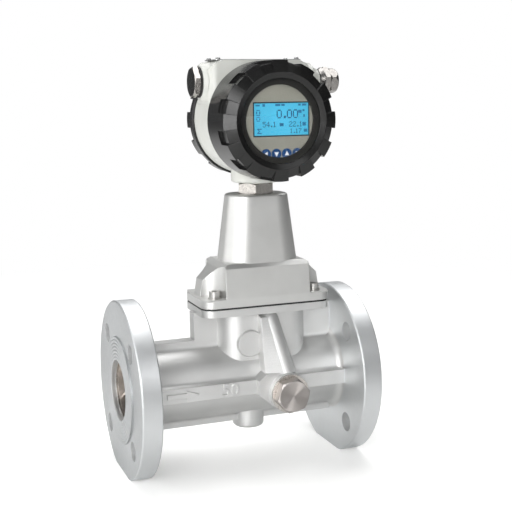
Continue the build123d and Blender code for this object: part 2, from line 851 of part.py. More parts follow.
def cover_seal(line):
    """The O-ring that seals a cover on the housing neck."""
    middle = (neck_radius + seal_groove_radius) / 2
    return line * Pos(0, 0, seal_radius + fit_clearance) * Torus(middle, seal_radius)


def front_cover_seal():
    return cover_seal(front_line)


def back_cover_seal():
    return cover_seal(back_line)


def window_gasket():
    """The thin ring between the glass and the cover's lip."""
    top = front_cover_depth - dish_depth - lip_thickness
    return tube(front_line, glass_radius, dish_radius + 0.2, top - window_gasket_thickness, top)


def window_glass():
    top = front_cover_depth - dish_depth - lip_thickness - window_gasket_thickness
    return rod(front_line, glass_radius, top - glass_thickness, top)


def window_bezel():
    """The black screwed ring that holds the glass and frames the dial."""
    top = bezel_back_depth + bezel_thickness
    return tube(front_line, bezel_radius, window_radius, bezel_back_depth, top)


def display_plate():
    """The round dial plate with the display opening and four key holes."""
    plate = rod(front_line, dial_radius, dial_back_depth, dial_front_depth)
    opening = Pos(dial_offset_x, lcd_up, dial_back_depth) * Box(
        lcd_length + 2 * fit_clearance, lcd_height + 2 * fit_clearance, 4 * dial_thickness)
    plate -= front_line * opening
    for x, y in key_places():
        key_line = front_line * Pos(x, y, 0)
        plate -= rod(key_line, key_radius + key_clearance, dial_back_depth - 1, dial_front_depth + 1)
    return plate


def lcd_panel():
    """The display glass, from the board up into its opening."""
    top = board_front_depth + board_gap + dial_thickness - 0.2
    middle = (board_front_depth + top) / 2
    panel = Box(lcd_length, lcd_height, top - board_front_depth)
    return front_line * Pos(dial_offset_x, lcd_up, middle) * panel


def key(place):
    """A round push key with a thin stem over its switch."""
    x, y = key_places()[place]
    line = front_line * Pos(x, y, 0)
    top = dial_front_depth + key_proud
    cap = rod(line, key_radius, top - key_cap_depth, top)
    foot = board_front_depth + key_travel + fit_clearance
    stem = rod(line, key_stem_radius, foot, top - key_cap_depth + 0.5)
    return cap + stem


def display_board():
    return rod(front_line, board_radius, board_back_depth, board_front_depth)


def plate_spacers():
    """Four spacers between the display board and the dial plate."""
    return [rod(front_line * Pos(x, y, 0), post_radius, board_front_depth, dial_back_depth)
            for x, y in post_places()]


def display_posts():
    """Four posts that carry the display board from the partition."""
    foot = band_front - partition_front
    return [rod(front_line * Pos(x, y, 0), post_radius, foot, board_back_depth)
            for x, y in post_places()]


def terminal_posts():
    """Four posts that carry the terminal board from the partition."""
    foot = partition_back - band_back
    return [rod(back_line * Pos(x, y, 0), post_radius, foot, rear_board_y - band_back)
            for x, y in post_places()]


def terminal_board():
    return rod(back_line, board_radius, rear_board_y - band_back, rear_board_back - band_back)


def terminal_block():
    """A row of wire clamps: a screw hole at the back and a wire hole below for each."""
    start = rear_board_back
    centre_z = head_z - terminal_down
    middle_y = start + terminal_depth / 2
    block = Pos(stem_x, middle_y, centre_z) * Box(terminal_length, terminal_depth, terminal_height)
    pitch = terminal_length / terminal_count
    for place in range(terminal_count):
        x = stem_x + (place - (terminal_count - 1) / 2) * pitch
        screw_line = Pos(x, start + terminal_depth, centre_z + 2) * Rot(-90, 0, 0)
        block -= rod(screw_line, pitch * 0.3, -3, 1)
        block -= Pos(x, middle_y, centre_z - terminal_height / 2) * Box(pitch * 0.55, 5, 8)
    return block


def gland_seal_ring():
    return tube(gland_line, gland_seal_radius, conduit_radius + fit_clearance, 0, gland_seal_thickness)


def plug_seal_ring():
    return tube(plug_line, plug_seal_radius, conduit_radius + fit_clearance, 0, plug_seal_thickness)


def gland_stations():
    """Heights of the gland's steps, from the conduit boss outwards."""
    neck = gland_seal_thickness + gland_neck_length
    collar = neck + gland_collar_length
    return neck, collar, collar + gland_hex_length


def nut_stations():
    """Heights of the dome nut's start, of its seat on the rubber and of its end."""
    start = gland_stations()[2] + gland_nut_gap
    return start, start + gland_thread_length + fit_clearance, start + gland_nut_length


def cable_gland():
    """The gland body: thread, neck, rising collar, hexagon and nut thread."""
    neck, collar, hex_end = gland_stations()
    edge = gland_hex_flats / 2
    outline = [
        (0, -entry_thread_length), (conduit_radius - fit_clearance, -entry_thread_length),
        (conduit_radius - fit_clearance, gland_seal_thickness), (gland_neck_radius, gland_seal_thickness),
        (gland_neck_radius, neck), (edge - 1, neck), (gland_collar_radius, collar - 0.8),
        (gland_collar_radius, collar), (edge - 1, collar), (edge - 1, hex_end),
        (gland_thread_radius, hex_end), (gland_thread_radius, hex_end + gland_thread_length),
        (0, hex_end + gland_thread_length),
    ]
    body = turned(gland_line, outline)
    body += hexagon(gland_line, gland_hex_flats, collar - 0.5, hex_end, gland_hex_turn, True, True)
    hole = gland_hole_radius + gland_rubber_wall + fit_clearance
    return body - rod(gland_line, hole, -entry_thread_length - 1, hex_end + gland_thread_length + 1)


def gland_nut():
    """The domed hexagon nut that squeezes the rubber."""
    start, seat, end = nut_stations()
    edge = gland_nut_flats / 2
    corner = gland_nut_flats / math.sqrt(3)
    prism = Rot(0, 0, gland_hex_turn) * extrude(RegularPolygon(corner, 6), gland_nut_length)
    dome = [
        (0, start), (edge, start), (corner - 0.3, start + 1), (corner - 0.3, end - 3.6),
        (edge + 0.2, end - 1), (gland_nut_end_radius, end), (0, end),
    ]
    nut = gland_line * Pos(0, 0, start) * prism & turned(gland_line, dome)
    nut -= rod(gland_line, gland_hole_radius, start - 1, end + 1)
    return nut - rod(gland_line, gland_thread_radius + fit_clearance, start - 1, seat)


def gland_rubber():
    """The rubber sleeve in the gland's mouth that grips the cable."""
    start = gland_stations()[2] - gland_hex_length / 2
    outer = gland_hole_radius + gland_rubber_wall
    return tube(gland_line, outer, gland_hole_radius - gland_squeeze, start, nut_stations()[1])


def blanking_plug():
    """The hexagon plug in the unused entry, with a low crown."""
    start = plug_seal_thickness
    hex_end = start + plug_hex_length
    top = hex_end + plug_crown
    edge = plug_flats / 2
    corner = plug_flats / math.sqrt(3)
    prism = Rot(0, 0, plug_turn) * extrude(RegularPolygon(corner, 6), top - start)
    outline = [
        (0, start), (edge, start), (corner, start + 0.8), (corner, hex_end - 1), (edge - 0.4, hex_end),
        (edge / 2, top), (0, top),
    ]
    head = plug_line * Pos(0, 0, start) * prism & turned(plug_line, outline)
    return head + rod(plug_line, conduit_radius - fit_clearance, -entry_thread_length, start + 1)


def nameplate():
    """The bare plate on the conduit block."""
    line = Pos(stem_x, band_middle + nameplate_shift, 0)
    top = block_top + nameplate_thickness
    return slab(line, nameplate_length, nameplate_width, nameplate_corner, block_top, top)


def nameplate_rivets():
    """Four low round rivets at the plate's corners."""
    middle_y = band_middle + nameplate_shift
    start = block_top + nameplate_thickness
    rivets = []
    for x in (-1, 1):
        for y in (-1, 1):
            place = Pos(stem_x + x * (nameplate_length / 2 - rivet_inset),
                        middle_y + y * (nameplate_width / 2 - rivet_inset), 0)
            head = [(0, start), (rivet_radius, start), (rivet_radius * 0.75, start + rivet_height * 0.7),
                    (rivet_radius * 0.3, start + rivet_height), (0, start + rivet_height)]
            rivets.append(turned(place, head))
    return rivets


def as_shape(solids):
    """One shape from a solid or a list of separate solids."""
    if isinstance(solids, list):
        return Compound([piece.solid() for piece in solids])
    return solids


pieces = {
    "meter_body": meter_body,
    "swirler": swirler,
    "swirler_ring": swirler_ring,
    "flow_straightener": flow_straightener,
    "straightener_ring": straightener_ring,
    "vortex_probe": vortex_probe,
    "temperature_probe": temperature_probe,
    "pressure_cell": pressure_cell,
    "port_washer": port_washer,
    "port_plug": port_plug,
    "bonnet_gasket": bonnet_gasket,
    "bonnet": bonnet,
    "bonnet_washers": bonnet_washers,
    "bonnet_screws": bonnet_screws,
    "union_nut": union_nut,
    "union_washer": union_washer,
    "head_housing": head_housing,
    "front_cover": front_cover,
    "front_cover_seal": front_cover_seal,
    "window_gasket": window_gasket,
    "window_glass": window_glass,
    "window_bezel": window_bezel,
    "back_cover": back_cover,
    "back_cover_seal": back_cover_seal,
    "display_plate": display_plate,
    "lcd_panel": lcd_panel,
    "display_board": display_board,
    "plate_spacers": plate_spacers,
    "display_posts": display_posts,
    "terminal_posts": terminal_posts,
    "terminal_board": terminal_board,
    "terminal_block": terminal_block,
    "gland_seal_ring": gland_seal_ring,
    "cable_gland": cable_gland,
    "gland_nut": gland_nut,
    "gland_rubber": gland_rubber,
    "plug_seal_ring": plug_seal_ring,
    "blanking_plug": blanking_plug,
    "nameplate": nameplate,
    "nameplate_rivets": nameplate_rivets,
}

key_names = ["key_left", "key_down", "key_up", "key_right"]

os.makedirs("parts", exist_ok=True)
for name, make in pieces.items():
    export_step(as_shape(make()), f"parts/{name}.step")
for place, name in enumerate(key_names):
    export_step(as_shape(key(place)), f"parts/{name}.step")
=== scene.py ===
import bpy
import math
from mathutils import Matrix, Vector


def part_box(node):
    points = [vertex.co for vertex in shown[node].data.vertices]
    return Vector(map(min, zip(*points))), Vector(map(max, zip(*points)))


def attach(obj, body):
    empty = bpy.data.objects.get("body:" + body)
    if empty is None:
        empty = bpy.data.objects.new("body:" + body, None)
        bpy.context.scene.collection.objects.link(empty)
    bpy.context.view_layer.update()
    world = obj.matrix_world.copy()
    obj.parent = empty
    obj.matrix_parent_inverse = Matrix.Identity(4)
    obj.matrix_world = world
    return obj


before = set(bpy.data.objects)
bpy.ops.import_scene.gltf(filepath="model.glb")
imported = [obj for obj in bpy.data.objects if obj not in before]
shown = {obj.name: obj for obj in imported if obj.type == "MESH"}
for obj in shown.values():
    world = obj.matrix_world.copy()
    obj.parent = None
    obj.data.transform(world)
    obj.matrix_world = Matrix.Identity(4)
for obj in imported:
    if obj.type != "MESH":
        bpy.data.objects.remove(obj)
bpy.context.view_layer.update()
mm = 0.001
noiseEnds = {"From Min": 0.3, "From Max": 0.7}  # a noise mostly stays between these
print("frame loaded:", len(shown), "nodes")


def linear(text):
    # sRGB hex to the linear colour that a shader takes
    parts = [int(text[i:i + 2], 16) / 255 for i in (1, 3, 5)]
    return tuple(p / 12.92 if p <= 0.04045 else ((p + 0.055) / 1.055) ** 2.4 for p in parts) + (1.0,)


def addNode(tree, kind, inputs=None, output=0, **settings):
    # an input is a value, a hex colour or the output of another node
    node = tree.nodes.new("ShaderNode" + kind)
    for name, setting in settings.items():
        setattr(node, name, setting)
    for socket, source in (inputs or {}).items():
        if isinstance(source, bpy.types.NodeSocket):
            tree.links.new(source, node.inputs[socket])
        elif isinstance(source, str):
            node.inputs[socket].default_value = linear(source)
        else:
            node.inputs[socket].default_value = source
    return node.outputs[output]


def newMaterial(name, **sockets):
    # a Principled surface with its own coordinates in metres
    material = bpy.data.materials.new(name)
    material.use_nodes = True
    tree = material.node_tree
    shader = tree.nodes["Principled BSDF"]
    for socket, value in sockets.items():
        shader.inputs[socket.replace("_", " ")].default_value = value
    place = addNode(tree, "TexCoord", output="Object")
    return material, tree, shader, place


def speckle(tree, place, size, detail=3.0, stretch=(1.0, 1.0, 1.0)):
    # soft blobs about `size` millimetres across
    scale = [part / (size * mm) for part in stretch]
    scaled = addNode(tree, "Mapping", {"Vector": place, "Scale": scale})
    return addNode(tree, "TexNoise", {"Vector": scaled, "Scale": 1.0, "Detail": detail, "Roughness": 0.55})


def twoTone(tree, field, first, second, ends=(0.3, 0.7)):
    # one colour where the field is at or under the lower end, the other at or over the upper
    share = addNode(tree, "MapRange", {"Value": field, "From Min": ends[0], "From Max": ends[1],
                                       "To Min": 0.0, "To Max": 1.0})
    return addNode(tree, "Mix", {0: share, 6: first, 7: second}, 2, data_type="RGBA")


def radiusFrom(tree, place, centre, axis):
    # distance from a line through `centre` along one axis
    keep = [1.0, 1.0, 1.0]
    keep[axis] = 0.0
    moved = addNode(tree, "VectorMath", {0: place, 1: centre}, operation="SUBTRACT")
    flat = addNode(tree, "VectorMath", {0: moved, 1: keep}, operation="MULTIPLY")
    return addNode(tree, "VectorMath", {0: flat}, "Value", operation="LENGTH")


def roundTangent(tree, place, centre, axis):
    # the direction of turning marks that run round a line through `centre`
    along = [0.0, 0.0, 0.0]
    along[axis] = 1.0
    moved = addNode(tree, "VectorMath", {0: place, 1: centre}, operation="SUBTRACT")
    across = addNode(tree, "VectorMath", {0: along, 1: moved}, operation="CROSS_PRODUCT")
    return addNode(tree, "VectorMath", {0: across}, operation="NORMALIZE")


def band(tree, distance, low=-1.0, high=1.0):
    # one where a distance lies between two values in metres, nought elsewhere
    above = addNode(tree, "Math", {0: distance, 1: low}, operation="GREATER_THAN")
    below = addNode(tree, "Math", {0: distance, 1: high}, operation="LESS_THAN")
    return addNode(tree, "Math", {0: above, 1: below}, operation="MULTIPLY")


def waves(tree, distance, pitch, depth=1.0, mask=1.0):
    # even lines `pitch` millimetres apart, where the mask is one
    turns = addNode(tree, "Math", {0: distance, 1: math.tau / (pitch * mm)}, operation="MULTIPLY")
    line = addNode(tree, "Math", {0: turns}, operation="SINE")
    masked = addNode(tree, "Math", {0: line, 1: mask}, operation="MULTIPLY")
    return addNode(tree, "Math", {0: masked, 1: depth}, operation="MULTIPLY")


def dress(tree, shader, colour, field=None, rough=None, height=None, depth=1.0, edge=None, **sources):
    # colour, a roughness range over a field, and relief in millimetres; `edge` is the radius
    # in millimetres of the small round that a cast, turned or painted edge really has
    sources["Base_Color"] = colour
    if rough:
        reach = {"To Min": rough[0], "To Max": rough[1]}
        sources["Roughness"] = addNode(tree, "MapRange", {"Value": field, **noiseEnds, **reach})
    if height:
        relief = {"Height": height, "Strength": 1.0, "Distance": depth * mm}
        if edge:
            relief["Normal"] = addNode(tree, "Bevel", {"Radius": edge * mm}, samples=4)
        sources["Normal"] = addNode(tree, "Bump", relief)
    for socket, source in sources.items():
        tree.links.new(source, shader.inputs[socket.replace("_", " ")])


def give(names, material):
    for name in names.split():
        mesh = shown[name].data
        mesh.materials.clear()
        mesh.materials.append(material)


# Places on the meter, in metres
stemX = 0.0225
pipeZ = 0.0775
headZ = 0.3205
pipeAxis = (0.0, 0.0, pipeZ)
headAxis = (stemX, 0.0, headZ)


# In the dictionaries of the materials, places and radii on the meter are in metres;
# grain, pitch, depth and edge are in millimetres

# Sand cast aluminium, shot blasted and clear sprayed: a soft grey sheen with a fine skin
# and faint cloudy patches; the flanges are turned bright with fine concentric lines.
# A lathe leaves finer lines than these, which are drawn as coarse as they need to show
castBody = {
    "light": "#d9d9d8", "dark": "#d0d0cf", "rough": (0.43, 0.56), "edge": 0.8,
    "grain": 0.55, "cloud": 46.0, "skinDepth": 0.16,
    "turned": "#d6d8d9", "face": "#b6b8b9", "turnedRough": (0.36, 0.44), "turnedSheen": 0.55,
    "smear": 6.0, "linePitch": 0.35, "lineDepth": 0.008, "ridgePitch": 3.2, "ridgeDepth": 0.3,
    # the hole colour and its lower metalness are painted light in the bolt holes and the bore's mouth
    "hole": "#d2d3d3", "holeMatt": 0.35,
    "flangeStart": 0.0944, "flangeInner": 0.0405, "holeStart": 0.0956, "faceStart": 0.1134,
    "raisedEdge": 0.0496, "boreEdge": 0.0282, "boltPlace": 0.0442, "boltEdge": 0.0094,
}


def buildCastBody():
    look = castBody
    material, tree, shader, place = newMaterial("sandCastAluminium", Metallic=1.0)
    grain = speckle(tree, place, look["grain"], 4.0)
    cloud = speckle(tree, place, look["cloud"], 2.0)
    smear = speckle(tree, place, look["smear"])
    radius = radiusFrom(tree, place, pipeAxis, 0)
    fromMiddle = addNode(tree, "SeparateXYZ", {0: place}, "X")
    along = addNode(tree, "Math", {0: fromMiddle}, operation="ABSOLUTE")

    # where the lathe has been: rims, faces and bore
    rim = band(tree, radius, low=look["flangeInner"])
    flange = band(tree, along, low=look["flangeStart"])
    flange = addNode(tree, "Math", {0: flange, 1: rim}, operation="MULTIPLY")
    face = band(tree, along, low=look["faceStart"])
    bore = band(tree, radius, high=look["boreEdge"])
    turned = addNode(tree, "Math", {0: flange, 1: face}, operation="MAXIMUM")
    turned = addNode(tree, "Math", {0: turned, 1: bore}, operation="MAXIMUM")
    cast = twoTone(tree, cloud, look["light"], look["dark"])
    # painted shade: the end faces take a darker copy of the turned colour, standing in for the shade of their
    # serrated rings
    bright = twoTone(tree, face, look["turned"], look["face"])
    colour = twoTone(tree, turned, cast, bright)
    ranges = []
    for field, (low, high) in ((grain, look["rough"]), (smear, look["turnedRough"])):
        ranges.append(addNode(tree, "MapRange", {"Value": field, **noiseEnds, "To Min": low, "To Max": high}))
    rough = addNode(tree, "Mix", {0: turned, 2: ranges[0], 3: ranges[1]}, data_type="FLOAT")
    sheen = addNode(tree, "Math", {0: turned, 1: look["turnedSheen"]}, operation="MULTIPLY")

    # rings of the raised face, turning lines, and the cast skin elsewhere
    raised = band(tree, radius, high=look["raisedEdge"])
    raised = addNode(tree, "Math", {0: face, 1: raised}, operation="MULTIPLY")
    ridge = waves(tree, radius, look["ridgePitch"], look["ridgeDepth"], raised)
    line = waves(tree, radius, look["linePitch"], look["lineDepth"], turned)
    cut = addNode(tree, "Math", {0: ridge, 1: line}, operation="ADD")
    uncut = addNode(tree, "Math", {0: 1.0, 1: turned}, operation="SUBTRACT")
    skin = addNode(tree, "Math", {0: grain, 1: uncut}, operation="MULTIPLY")
    height = addNode(tree, "Math", {0: skin, 1: look["skinDepth"], 2: cut}, operation="MULTIPLY_ADD")

    # painted light: the bolt holes and the mouth of the bore are made paler and less metallic, so that they
    # read as lit inside
    moved = addNode(tree, "VectorMath", {0: place, 1: pipeAxis}, operation="SUBTRACT")
    folded = addNode(tree, "VectorMath", {0: moved}, operation="ABSOLUTE")
    bolt = (0.0, look["boltPlace"], look["boltPlace"])
    hole = band(tree, radiusFrom(tree, folded, bolt, 0), high=look["boltEdge"])
    inside = band(tree, along, look["holeStart"], look["faceStart"])
    hole = addNode(tree, "Math", {0: hole, 1: inside}, operation="MULTIPLY")
    paintedLightMouth = addNode(tree, "Math", {0: bore, 1: face}, operation="MULTIPLY")
    paintedLightMask = addNode(tree, "Math", {0: hole, 1: paintedLightMouth}, operation="MAXIMUM")
    metallic = addNode(tree, "Math", {0: paintedLightMask, 1: -look["holeMatt"], 2: 1.0}, operation="MULTIPLY_ADD")
    dress(tree, shader, twoTone(tree, paintedLightMask, colour, look["hole"]), height=height, edge=look["edge"],
          Roughness=rough, Metallic=metallic, Anisotropic=sheen,
          Tangent=roundTangent(tree, place, pipeAxis, 0))
    return material


# Gravity cast aluminium of the bonnet, blasted finer than the body: smooth, a little brighter
castBonnet = {"light": "#dadad8", "dark": "#d1d1cf", "rough": (0.43, 0.54), "edge": 1.0,
              "grain": 0.4, "cloud": 38.0, "skinDepth": 0.08}


def buildCastBonnet():
    look = castBonnet
    material, tree, shader, place = newMaterial("blastedCastAluminium", Metallic=1.0)
    grain = speckle(tree, place, look["grain"], 4.0)
    cloud = speckle(tree, place, look["cloud"], 2.0)
    colour = twoTone(tree, cloud, look["light"], look["dark"])
    dress(tree, shader, colour, grain, look["rough"], grain, look["skinDepth"], look["edge"])
    return material


# Powder coat on the cast head: off-white, low orange peel; the threaded necks are left bare
headPaint = {"light": "#cdcec9", "dark": "#c5c6c0", "bare": "#c9cacb", "rough": (0.3, 0.4), "edge": 0.8,
             "cloud": 22.0, "peel": 1.6, "peelDepth": 0.05, "threadPitch": 1.5, "threadDepth": 0.4,
             "middle": 0.0025, "neckStart": 0.0217, "neckRadius": 0.0475}


def buildHeadPaint():
    look = headPaint
    material, tree, shader, place = newMaterial("offWhitePowderCoat", Specular_IOR_Level=0.5)
    peel = speckle(tree, place, look["peel"], 2.0)
    cloud = speckle(tree, place, look["cloud"], 2.0)
    radius = radiusFrom(tree, place, headAxis, 1)
    frontToBack = addNode(tree, "SeparateXYZ", {0: place}, "Y")
    moved = addNode(tree, "Math", {0: frontToBack, 1: look["middle"]}, operation="SUBTRACT")
    along = addNode(tree, "Math", {0: moved}, operation="ABSOLUTE")
    beyond = band(tree, along, low=look["neckStart"])
    within = band(tree, radius, high=look["neckRadius"])
    neck = addNode(tree, "Math", {0: beyond, 1: within}, operation="MULTIPLY")
    thread = waves(tree, along, look["threadPitch"], look["threadDepth"], neck)
    height = addNode(tree, "Math", {0: peel, 1: look["peelDepth"], 2: thread}, operation="MULTIPLY_ADD")
    painted = twoTone(tree, cloud, look["light"], look["dark"])
    dress(tree, shader, twoTone(tree, neck, painted, look["bare"]), peel, look["rough"], height,
          edge=look["edge"], Metallic=neck)
    return material


# Satin black stove enamel on die cast aluminium covers: deep black with broad soft highlights
coverPaint = {"light": "#151514", "dark": "#0f0f0f", "rough": (0.17, 0.25), "edge": 0.6,
              "cloud": 14.0, "peel": 0.9, "peelDepth": 0.02}


def buildCoverPaint():
    look = coverPaint
    material, tree, shader, place = newMaterial("satinBlackEnamel", Specular_IOR_Level=0.42)
    peel = speckle(tree, place, look["peel"], 2.0)
    cloud = speckle(tree, place, look["cloud"], 2.0)
    colour = twoTone(tree, cloud, look["light"], look["dark"])
    dress(tree, shader, colour, peel, look["rough"], peel, look["peelDepth"], look["edge"])
    return material


# Black anodised ring behind the glass, drawn dark grey: its own black with painted light added where the lip
# shades it; even, matt, fine turning lines
bezelWithPaintedLight = {"light": "#444442", "dark": "#3b3b39", "rough": (0.4, 0.5), "grain": 0.6,
              "linePitch": 0.4, "lineDepth": 0.006}


def buildBezel():
    look = bezelWithPaintedLight
    material, tree, shader, place = newMaterial("blackAnodisedAluminium", Metallic=0.1)
    fine = speckle(tree, place, look["grain"], 2.0)
    lines = waves(tree, radiusFrom(tree, place, headAxis, 1), look["linePitch"])
    colour = twoTone(tree, fine, look["light"], look["dark"], (0.0, 1.0))
    dress(tree, shader, colour, fine, look["rough"], lines, look["lineDepth"])
    return material


# Machined metals, each with two shades and a roughness range. Turned stainless is bright and
# warm grey, the bare plate is brushed duller, milled aluminium is paler and softer with a warm
# tint that is a painted reflection of a warm room, and nickel plated brass is darker
metals = {
    "turnedStainless": ("#c3bfba", "#b2aea9", (0.2, 0.3)),
    "brushedPlateStainless": ("#b6b7b7", "#a4a5a5", (0.36, 0.46)),
    "milledAluminiumWarmReflection": ("#dad4ce", "#bdb5ae", (0.3, 0.42)),
    "nickelPlatedBrass": ("#9e9b98", "#8b8885", (0.22, 0.3)),
}
metalGrain = {"smear": 3.0, "mark": 0.3, "markStretch": (1.0, 0.12, 1.0), "markDepth": 0.0015, "edge": 0.25}


def buildMetal(name):
    look = metalGrain
    light, dark, rough = metals[name]
    material, tree, shader, place = newMaterial(name, Metallic=1.0)
    smear = speckle(tree, place, look["smear"])
    marks = speckle(tree, place, look["mark"], 2.0, look["markStretch"])
    colour = twoTone(tree, smear, light, dark)
    dress(tree, shader, colour, smear, rough, marks, look["markDepth"], look["edge"])
    return material


# Stainless plug whose face is turned to a shallow cone: its lines run round the plug's own
# axis, and the light fans out from there
portPlug = {"light": "#b2adaa", "dark": "#aba5a1", "rough": (0.36, 0.4), "edge": 0.3, "smear": 9.0,
            "linePitch": 0.5, "lineDepth": 0.004, "faceDepth": 0.0012, "faceSheen": 0.97}


def buildPortPlug():
    look = portPlug
    material, tree, shader, place = newMaterial("turnedPlugStainless", Metallic=1.0)
    low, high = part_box("port_plug")
    centre = ((low[0] + high[0]) / 2, 0.0, (low[2] + high[2]) / 2)
    lines = waves(tree, radiusFrom(tree, place, centre, 1), look["linePitch"])
    smear = speckle(tree, place, look["smear"], 2.0)
    colour = twoTone(tree, smear, look["light"], look["dark"], (0.0, 1.0))
    frontToBack = addNode(tree, "SeparateXYZ", {0: place}, "Y")
    face = band(tree, frontToBack, high=low[1] + look["faceDepth"])
    sheen = addNode(tree, "Math", {0: face, 1: look["faceSheen"]}, operation="MULTIPLY")
    dress(tree, shader, colour, smear, look["rough"], lines, look["lineDepth"], look["edge"],
          Anisotropic=sheen, Tangent=roundTangent(tree, place, centre, 1))
    return material


# Nickel plated plug: bright flats round an end face drawn black and not metal
blankingPlug = {"light": "#bdb9b5", "dark": "#aca8a3", "face": "#0f0f0e", "rough": (0.2, 0.3),
                "edge": 0.25, "smear": 3.0, "smearDepth": 0.004, "faceX": -0.03775}


def buildBlankingPlug():
    look = blankingPlug
    material, tree, shader, place = newMaterial("nickelPlugBlackFace", Metallic=1.0)
    smear = speckle(tree, place, look["smear"])
    face = band(tree, addNode(tree, "SeparateXYZ", {0: place}, "X"), high=look["faceX"])
    bare = addNode(tree, "Math", {0: 1.0, 1: face}, operation="SUBTRACT")
    bright = twoTone(tree, smear, look["light"], look["dark"], (0.0, 1.0))
    dress(tree, shader, twoTone(tree, face, bright, look["face"]), smear, look["rough"],
          smear, look["smearDepth"], look["edge"], Metallic=bare)
    return material


# Zinc plated steel screws: duller and cooler than the stainless fittings
zincPlate = {"light": "#c6c5c2", "dark": "#b2b1ae", "rough": (0.28, 0.42), "edge": 0.2,
             "smear": 1.2, "smearDepth": 0.01}


def buildZinc():
    look = zincPlate
    material, tree, shader, place = newMaterial("zincPlatedSteel", Metallic=1.0)
    smear = speckle(tree, place, look["smear"])
    colour = twoTone(tree, smear, look["light"], look["dark"], (0.0, 1.0))
    dress(tree, shader, colour, smear, look["rough"], smear, look["smearDepth"], look["edge"])
    return material


# Nitrile rubber and gasket sheet: dull black, slightly dusty
blackRubber = {"clean": "#1a1a1a", "dusty": "#262625", "rough": (0.6, 0.8), "dust": 0.7, "dustDepth": 0.03}


def buildRubber():
    look = blackRubber
    material, tree, shader, place = newMaterial("blackNitrileRubber")
    dust = speckle(tree, place, look["dust"], 4.0)
    colour = twoTone(tree, dust, look["clean"], look["dusty"], (0.0, 1.0))
    dress(tree, shader, colour, dust, look["rough"], dust, look["dustDepth"])
    return material


# Plain plastics, boards and inks, moulded, laminated or printed: two shades, grain in
# millimetres, roughness range, relief in millimetres
plastics = {
    "whitePtfe": ("#e8e8e4", "#dededa", 0.8, (0.35, 0.5), 0.01),
    "greenCircuitBoard": ("#0f4a2c", "#0b3c24", 0.5, (0.3, 0.45), 0.02),
    "greenTerminalNylon": ("#1f6b3f", "#195a35", 0.7, (0.4, 0.55), 0.02),
    "printedDialLaminate": ("#949389", "#8d8c83", 0.35, (0.42, 0.52), 0.006),
    "whiteScreenInk": ("#f2f2f0", "#e6e6e4", 0.3, (0.5, 0.6), 0.004),
    "navyFrameInk": ("#07222f", "#061c28", 0.3, (0.35, 0.45), 0.004),
    "blueKeyPlastic": ("#114a86", "#0f4279", 0.5, (0.22, 0.32), 0.006),
}


def buildPlastic(name):
    light, dark, size, rough, depth = plastics[name]
    material, tree, shader, place = newMaterial(name)
    fine = speckle(tree, place, size)
    dress(tree, shader, twoTone(tree, fine, light, dark), fine, rough, fine, depth)
    return material


# Backlit display film: even sky blue, its glow falling off a little towards the edges
displayFilm = {"middle": "#41a4c6", "border": "#399aba", "fade": (0.006, 0.03), "glow": 0.55,
               "rough": (0.26, 0.34), "cell": 0.45, "cellDepth": 0.003}


def buildLcd():
    look = displayFilm
    material, tree, shader, place = newMaterial("backlitDisplayFilm", Emission_Strength=look["glow"])
    low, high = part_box("lcd_panel")
    centre = ((low[0] + high[0]) / 2, 0.0, (low[2] + high[2]) / 2)
    cells = speckle(tree, place, look["cell"], 1.0)
    radius = radiusFrom(tree, place, centre, 1)
    colour = twoTone(tree, radius, look["middle"], look["border"], look["fade"])
    dress(tree, shader, colour, cells, look["rough"], cells, look["cellDepth"], Emission_Color=colour)
    return material


# Dark blue liquid crystal dots, switched on; the small signs are weaker than the figures
inks = {"liquidCrystalInk": ("#0a4a78", "#08426c"), "weakCrystalInk": ("#1c6c9a", "#18628e")}
inkLook = {"glow": 0.25, "cell": 0.45, "rough": (0.3, 0.4)}


def buildInk(name):
    look = inkLook
    light, dark = inks[name]
    material, tree, shader, place = newMaterial(name, Emission_Strength=look["glow"])
    cells = speckle(tree, place, look["cell"], 1.0)
    colour = twoTone(tree, cells, light, dark, (0.0, 1.0))
    dress(tree, shader, colour, cells, look["rough"], Emission_Color=colour)
    return material


# Toughened window glass: clear, with the faintest smears; its shadow rays pass straight
# through, so that the dial behind it is lit
windowGlass = {"light": "#fcfcfb", "dark": "#f8f8f7", "shadow": "#fafaf9", "smear": 9.0, "rough": (0.0, 0.02)}


def buildGlass():
    look = windowGlass
    material, tree, shader, place = newMaterial("toughenedGlass", Transmission_Weight=1.0, IOR=1.5)
    smear = speckle(tree, place, look["smear"], 2.0)
    dress(tree, shader, twoTone(tree, smear, look["light"], look["dark"], (0.0, 1.0)), smear, look["rough"])
    clear = addNode(tree, "BsdfTransparent", {"Color": look["shadow"]})
    shadow = addNode(tree, "LightPath", output="Is Shadow Ray")
    mixed = addNode(tree, "MixShader", {0: shadow, 1: shader.outputs[0], 2: clear})
    tree.links.new(mixed, tree.nodes["Material Output"].inputs["Surface"])
    return material


castAluminium = buildCastBody()
give("meter_body", castAluminium)
give("bonnet", buildCastBonnet())
give("head_housing", buildHeadPaint())
give("front_cover back_cover", buildCoverPaint())
give("window_bezel", buildBezel())
give("swirler_ring straightener_ring vortex_probe temperature_probe pressure_cell port_washer union_nut",
     buildMetal("turnedStainless"))
give("port_plug", buildPortPlug())
give("nameplate nameplate_rivets", buildMetal("brushedPlateStainless"))
give("swirler flow_straightener", buildMetal("milledAluminiumWarmReflection"))
give("bonnet_washers bonnet_screws", buildZinc())
give("cable_gland gland_nut plate_spacers display_posts terminal_posts", buildMetal("nickelPlatedBrass"))
give("blanking_plug", buildBlankingPlug())
rubber = buildRubber()
give("bonnet_gasket front_cover_seal back_cover_seal window_gasket", rubber)
give("gland_seal_ring gland_rubber plug_seal_ring", rubber)
give("union_washer", buildPlastic("whitePtfe"))
give("display_plate", buildPlastic("printedDialLaminate"))
give("display_board terminal_board", buildPlastic("greenCircuitBoard"))
give("terminal_block", buildPlastic("greenTerminalNylon"))
